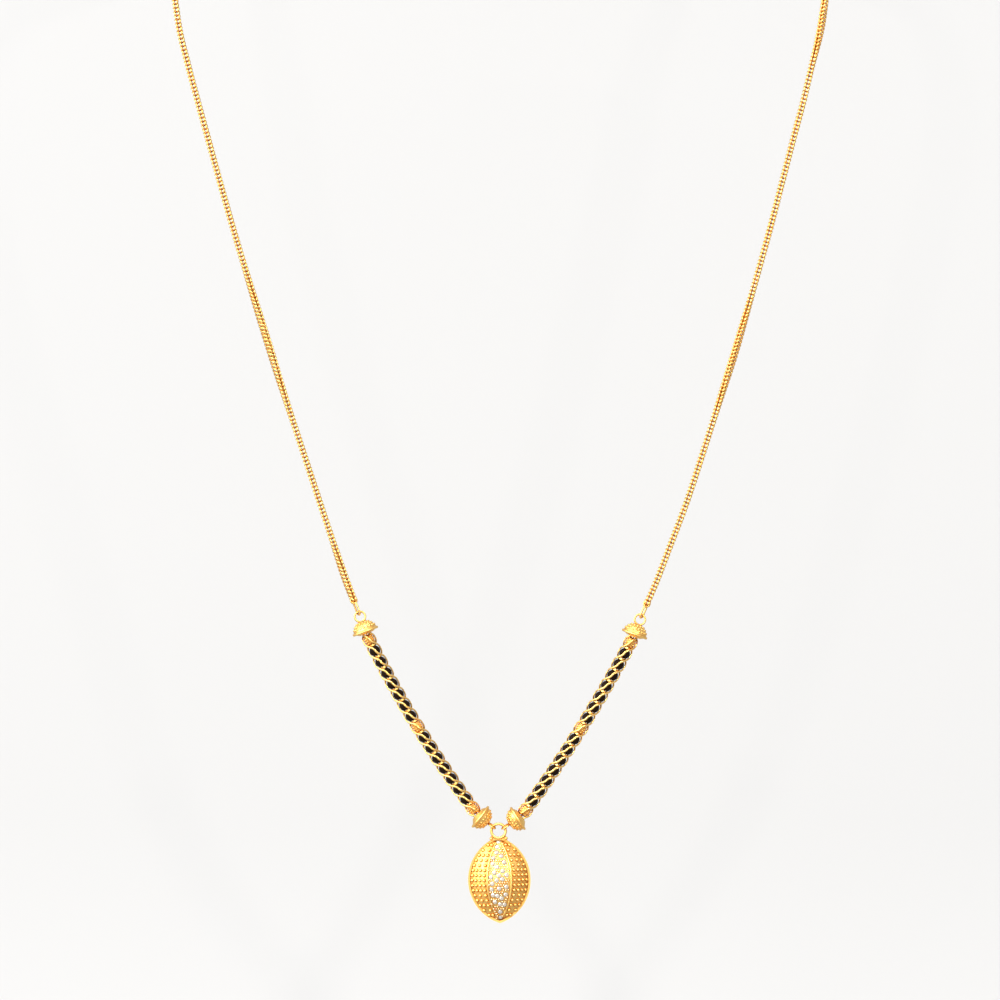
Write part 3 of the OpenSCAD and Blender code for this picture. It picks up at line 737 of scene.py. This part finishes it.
def gold_material(name, group):
    """Gold with a cloudy tone, a changing polish, a fine grain and painted shade in its crevices."""
    colour, smooth, rough, cloud, deep_share, bump, crevice_depth, crevice_from = GOLD_FINISHES[name]
    colours = settings().colours
    material, nodes, links, shader = new_material(name)
    tone = nodes.new("ShaderNodeGroup")
    tone.node_tree = group
    gold, deep = Vector(getattr(colours, colour)), Vector(colours.gold_deep)
    tone.inputs["Colour"].default_value = (*gold, 1)
    tone.inputs["Deep Colour"].default_value = (*gold.lerp(deep, deep_share), 1)
    tone.inputs["Cloud Scale"].default_value = cloud
    tone.inputs["Smooth"].default_value = smooth
    tone.inputs["Rough"].default_value = rough
    relief = nodes.new("ShaderNodeBump")
    relief.inputs["Strength"].default_value = bump
    relief.inputs["Distance"].default_value = 0.02 * MM
    links.new(tone.outputs["Height"], relief.inputs["Height"])
    links.new(relief.outputs["Normal"], shader.inputs["Normal"])
    # Painted shade: ambient occlusion mixes the dark crevice colour into the base colour deep between
    # granules and links
    crevice = nodes.new("ShaderNodeAmbientOcclusion")
    crevice.samples = 8
    crevice.inputs["Distance"].default_value = crevice_depth
    shade = nodes.new("ShaderNodeMapRange")
    shade.inputs["From Min"].default_value = crevice_from
    shade.inputs["From Max"].default_value = 0.95
    crevice_shade = nodes.new("ShaderNodeMix")
    crevice_shade.data_type = "RGBA"
    crevice_shade.inputs["A"].default_value = (*colours.crevice_shade, 1)
    links.new(crevice.outputs["AO"], shade.inputs["Value"])
    links.new(shade.outputs["Result"], crevice_shade.inputs["Factor"])
    links.new(tone.outputs["Colour"], crevice_shade.inputs["B"])
    links.new(crevice_shade.outputs["Result"], shader.inputs["Base Color"])
    links.new(tone.outputs["Roughness"], shader.inputs["Roughness"])
    shader.inputs["Metallic"].default_value = 1
    return material


def drifting_colour(nodes, links, shader, scale, first, second):
    """A base colour that drifts between two; gives back the noise that it drifts with."""
    place = nodes.new("ShaderNodeTexCoord")
    noise = nodes.new("ShaderNodeTexNoise")
    noise.inputs["Scale"].default_value = scale
    tint = nodes.new("ShaderNodeMix")
    tint.data_type = "RGBA"
    tint.inputs["A"].default_value = (*first, 1)
    tint.inputs["B"].default_value = (*second, 1)
    links.new(place.outputs["Object"], noise.inputs["Vector"])
    links.new(noise.outputs["Fac"], tint.inputs["Factor"])
    links.new(tint.outputs["Result"], shader.inputs["Base Color"])
    return noise


def bead_material():
    """Black glass with a faint drift in its polish."""
    material, nodes, links, shader = new_material("black_glass")
    dark = settings().colours.bead
    warm = (2 * dark[0], 1.6 * dark[1], 1.2 * dark[2])
    noise = drifting_colour(nodes, links, shader, 900, dark, warm)
    polish = nodes.new("ShaderNodeMapRange")
    polish.inputs["To Min"].default_value = 0.1
    polish.inputs["To Max"].default_value = 0.2
    links.new(noise.outputs["Fac"], polish.inputs["Value"])
    links.new(polish.outputs["Result"], shader.inputs["Roughness"])
    shader.inputs["IOR"].default_value = 1.1
    return material


def stone_material():
    """Clear stone: bright facets over a little body colour that drifts from stone to stone."""
    material, nodes, links, shader = new_material("clear_stone")
    clear = settings().colours.stone
    drifting_colour(nodes, links, shader, 1200, clear, (0.9 * clear[0], 0.84 * clear[1], 0.74 * clear[2]))
    shader.inputs["Roughness"].default_value = 0.1
    shader.inputs["IOR"].default_value = 2.1
    shader.inputs["Metallic"].default_value = 0.5
    return material


def backdrop_material():
    """A pale sweep that is clear from behind, so that the back can be looked at."""
    material, nodes, links, shader = new_material("backdrop")
    pale = settings().stage.backdrop
    drifting_colour(nodes, links, shader, 30, pale, [0.995 * part for part in pale])
    shader.inputs["Roughness"].default_value = 0.9
    shader.inputs["Specular IOR Level"].default_value = 0
    shader.inputs["Emission Color"].default_value = (1, 1, 1, 1)
    rays = nodes.new("ShaderNodeLightPath")
    glow = nodes.new("ShaderNodeMapRange")
    glow.inputs["To Min"].default_value = settings().stage.mirrored_glow
    glow.inputs["To Max"].default_value = settings().stage.glow
    links.new(rays.outputs["Is Camera Ray"], glow.inputs["Value"])
    links.new(glow.outputs["Result"], shader.inputs["Emission Strength"])
    side = nodes.new("ShaderNodeNewGeometry")
    clear = nodes.new("ShaderNodeBsdfTransparent")
    either = nodes.new("ShaderNodeMixShader")
    links.new(side.outputs["Backfacing"], either.inputs["Fac"])
    links.new(shader.outputs["BSDF"], either.inputs[1])
    links.new(clear.outputs["BSDF"], either.inputs[2])
    links.new(either.outputs["Shader"], nodes["Material Output"].inputs["Surface"])
    return material


MATERIALS = {}


def material_of(name):
    """One of the scene's materials, made on first use."""
    if not MATERIALS:
        group = tone_group()
        for finish in GOLD_FINISHES:
            MATERIALS[finish] = gold_material(finish, group)
        MATERIALS["black_glass"] = bead_material()
        MATERIALS["clear_stone"] = stone_material()
    return MATERIALS[name]


class MANGALSUTRA_OT_chains(bpy.types.Operator):
    """Make both foxtail chains, link by link, in place of their plain tubes"""

    bl_idname = "mangalsutra.chains"
    bl_label = "Foxtail Chains"

    def execute(self, context):
        for side in SIDES:
            chain = add_object(f"foxtail_chain_{side}", foxtail_chain(side))
            chain.data.materials.append(material_of("chain_gold"))
            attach(chain, "necklace")
            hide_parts(f"chain_{side}")
        return {"FINISHED"}


class MANGALSUTRA_OT_cages(bpy.types.Operator):
    """Make the twisted wires round both strands of beads"""

    bl_idname = "mangalsutra.cages"
    bl_label = "Wire Cages"

    def execute(self, context):
        for side in SIDES:
            cage = add_object(f"wire_cage_{side}", wire_cage(side))
            cage.data.materials.append(material_of("polished_gold"))
            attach(cage, "necklace")
            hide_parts(f"cage_{side}")
        return {"FINISHED"}


class MANGALSUTRA_OT_gold_beads(bpy.types.Operator):
    """Make each gold bead a barrel with rings of granules"""

    bl_idname = "mangalsutra.gold_beads"
    bl_label = "Gold Beads"

    def execute(self, context):
        for name in [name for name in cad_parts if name.startswith("gold_bead")]:
            bead = add_object(f"granulated_{name}", granulated_bead(name))
            bead.data.materials.append(material_of("granulated_gold"))
            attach(bead, "necklace")
            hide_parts(name)
        return {"FINISHED"}


class MANGALSUTRA_OT_stones(bpy.types.Operator):
    """Set a cut brilliant in each seat of the pendant"""

    bl_idname = "mangalsutra.stones"
    bl_label = "Pave Stones"

    def execute(self, context):
        sizes = settings().stones
        bm = bmesh.new()
        for count, (middle, out, radius) in enumerate(stone_seats()):
            shape = brilliant(radius, sizes)
            add_copy(bm, shape, seat_matrix(middle, out, GOLDEN_TURN * count))
            bpy.data.meshes.remove(shape)
        stones = add_object("brilliants", mesh_from("brilliants", bm, smooth=False))
        stones.data.materials.append(material_of("clear_stone"))
        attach(stones, "pendant")
        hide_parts("pave_stones")
        return {"FINISHED"}


class MANGALSUTRA_OT_prongs(bpy.types.Operator):
    """Put the small gold granules between the stones"""

    bl_idname = "mangalsutra.prongs"
    bl_label = "Prong Granules"

    def execute(self, context):
        sizes = settings().stones
        shape = granule_shape(sizes.prong)
        bm = bmesh.new()
        for place in field_places(stone_seats(), sizes):
            add_copy(bm, shape, Matrix.Translation(place))
        bpy.data.meshes.remove(shape)
        prongs = add_object("prong_granules", mesh_from("prong_granules", bm))
        prongs.data.materials.append(material_of("pale_gold"))
        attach(prongs, "pendant")
        return {"FINISHED"}


class MANGALSUTRA_OT_finishes(bpy.types.Operator):
    """Give every carried-over part its finish"""

    bl_idname = "mangalsutra.finishes"
    bl_label = "Finishes"

    def execute(self, context):
        for name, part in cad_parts.items():
            part.data.materials.clear()
            part.data.materials.append(material_of(finish_of(name)))
        return {"FINISHED"}


def finish_of(node):
    """The material that a CAD node wears."""
    if node.startswith("black_bead"):
        return "black_glass"
    if node == "pave_stones":
        return "clear_stone"
    if node.startswith(("upper_cap", "lower_cap", "pendant")):
        return "granulated_gold"
    return "polished_gold"


class MANGALSUTRA_OT_stage(bpy.types.Operator):
    """Set up the camera, the pale sweep and the soft lights"""

    bl_idname = "mangalsutra.stage"
    bl_label = "Stage"

    def execute(self, context):
        add_camera()
        add_sweep()
        for light in LIGHTS:
            add_light(*light)
        add_sky()
        context.scene.view_settings.view_transform = "Standard"
        return {"FINISHED"}


def add_camera():
    """A level camera in front of the necklace that takes in the view's width at the plane of the front."""
    sizes = settings().stage
    data = bpy.data.cameras.new("camera")
    data.sensor_width = 36
    data.lens = data.sensor_width * sizes.distance / sizes.view_width
    data.clip_start = 0.05
    data.clip_end = 20
    camera = add_object("camera", data)
    camera.location = (0, -FRONT_DEPTH - sizes.distance, sizes.view_height)
    camera.rotation_euler = (math.pi / 2, 0, 0)
    bpy.context.scene.camera = camera


def extrude_edges(bm, edges, way):
    """Draws edges out into faces along a way, and gives back the new edges."""
    made = bmesh.ops.extrude_edge_only(bm, edges=edges)["geom"]
    bmesh.ops.translate(bm, verts=[item for item in made if isinstance(item, bmesh.types.BMVert)], vec=way)
    return [item for item in made if isinstance(item, bmesh.types.BMEdge)]


def add_sweep():
    """A floor that turns up into a wall."""
    sizes = settings().stage
    bend_y, bend_z = sizes.wall_y - SWEEP_BEND, sizes.floor_z + SWEEP_BEND
    bm = bmesh.new()
    low = [bm.verts.new((x, bend_y - SWEEP_REACH, sizes.floor_z)) for x in (-SWEEP_HALF, SWEEP_HALF)]
    edge = bm.edges.new(low)
    front = extrude_edges(bm, [edge], (0, SWEEP_REACH, 0))
    turned = bmesh.ops.spin(
        bm, geom=front + list(front[0].verts), cent=(0, bend_y, bend_z),
        axis=(1, 0, 0), dvec=(0, 0, 0), angle=math.pi / 2, steps=SWEEP_STEPS, use_merge=False)
    last = [e for e in turned["geom_last"] if isinstance(e, bmesh.types.BMEdge)]
    extrude_edges(bm, last, (0, 0, SWEEP_TOP))
    bmesh.ops.recalc_face_normals(bm, faces=bm.faces[:])
    if sum((f.normal.z - f.normal.y) * f.calc_area() for f in bm.faces) < 0:
        bmesh.ops.reverse_faces(bm, faces=bm.faces[:])
    sweep = add_object("sweep", mesh_from("sweep", bm))
    sweep.data.materials.append(backdrop_material())


def add_light(name, place, size, power, colour):
    """A soft square light that faces the necklace."""
    data = bpy.data.lights.new(name, "AREA")
    data.size = size
    data.energy = power
    data.color = colour
    light = add_object(name, data)
    light.location = place
    aim = Vector(LIGHT_TARGET) - light.location
    light.rotation_euler = aim.to_track_quat("-Z", "Y").to_euler()


def add_sky():
    """A pale surround, darker towards the right, that the gold mirrors."""
    world = bpy.data.worlds.new("studio")
    bpy.context.scene.world = world
    world.use_nodes = True
    nodes, links = world.node_tree.nodes, world.node_tree.links
    place = nodes.new("ShaderNodeTexCoord")
    parts = nodes.new("ShaderNodeSeparateXYZ")
    mix = nodes.new("ShaderNodeMath")
    mix.operation = "MULTIPLY_ADD"
    mix.inputs[1].default_value = -0.4
    mix.inputs[2].default_value = 0.6
    ramp = nodes.new("ShaderNodeValToRGB")
    ramp.color_ramp.elements[0].color = (0.4, 0.36, 0.32, 1)
    ramp.color_ramp.elements[1].color = (0.95, 0.96, 1, 1)
    links.new(place.outputs["Generated"], parts.inputs["Vector"])
    links.new(parts.outputs["X"], mix.inputs[0])
    links.new(mix.outputs["Value"], ramp.inputs["Fac"])
    links.new(ramp.outputs["Color"], nodes["Background"].inputs["Color"])
    nodes["Background"].inputs["Strength"].default_value = 1.3


class MANGALSUTRA_PT_panel(bpy.types.Panel):
    """Lists the pieces of the necklace in the sidebar."""

    bl_idname = "MANGALSUTRA_PT_panel"
    bl_label = "Mangalsutra"
    bl_space_type = "VIEW_3D"
    bl_region_type = "UI"
    bl_category = "Mangalsutra"

    def draw(self, context):
        for operator in OPERATORS:
            self.layout.operator(operator.bl_idname)


OPERATORS = (
    MANGALSUTRA_OT_finishes, MANGALSUTRA_OT_chains, MANGALSUTRA_OT_cages, MANGALSUTRA_OT_gold_beads,
    MANGALSUTRA_OT_stones, MANGALSUTRA_OT_prongs, MANGALSUTRA_OT_stage)
CLASSES = (
    FoxtailSizes, CageSizes, GoldBeadSizes, StoneSizes, FinishColours, StageSizes, MangalsutraSettings,
    *OPERATORS, MANGALSUTRA_PT_panel)


def register():
    for item in CLASSES:
        bpy.utils.register_class(item)
    bpy.types.Scene.mangalsutra = bpy.props.PointerProperty(type=MangalsutraSettings)


def unregister():
    del bpy.types.Scene.mangalsutra
    for item in reversed(CLASSES):
        bpy.utils.unregister_class(item)


def main():
    register()
    bpy.ops.mangalsutra.finishes()
    bpy.ops.mangalsutra.chains()
    bpy.ops.mangalsutra.cages()
    bpy.ops.mangalsutra.gold_beads()
    bpy.ops.mangalsutra.stones()
    bpy.ops.mangalsutra.prongs()
    bpy.ops.mangalsutra.stage()


if __name__ == "__main__":
    main()
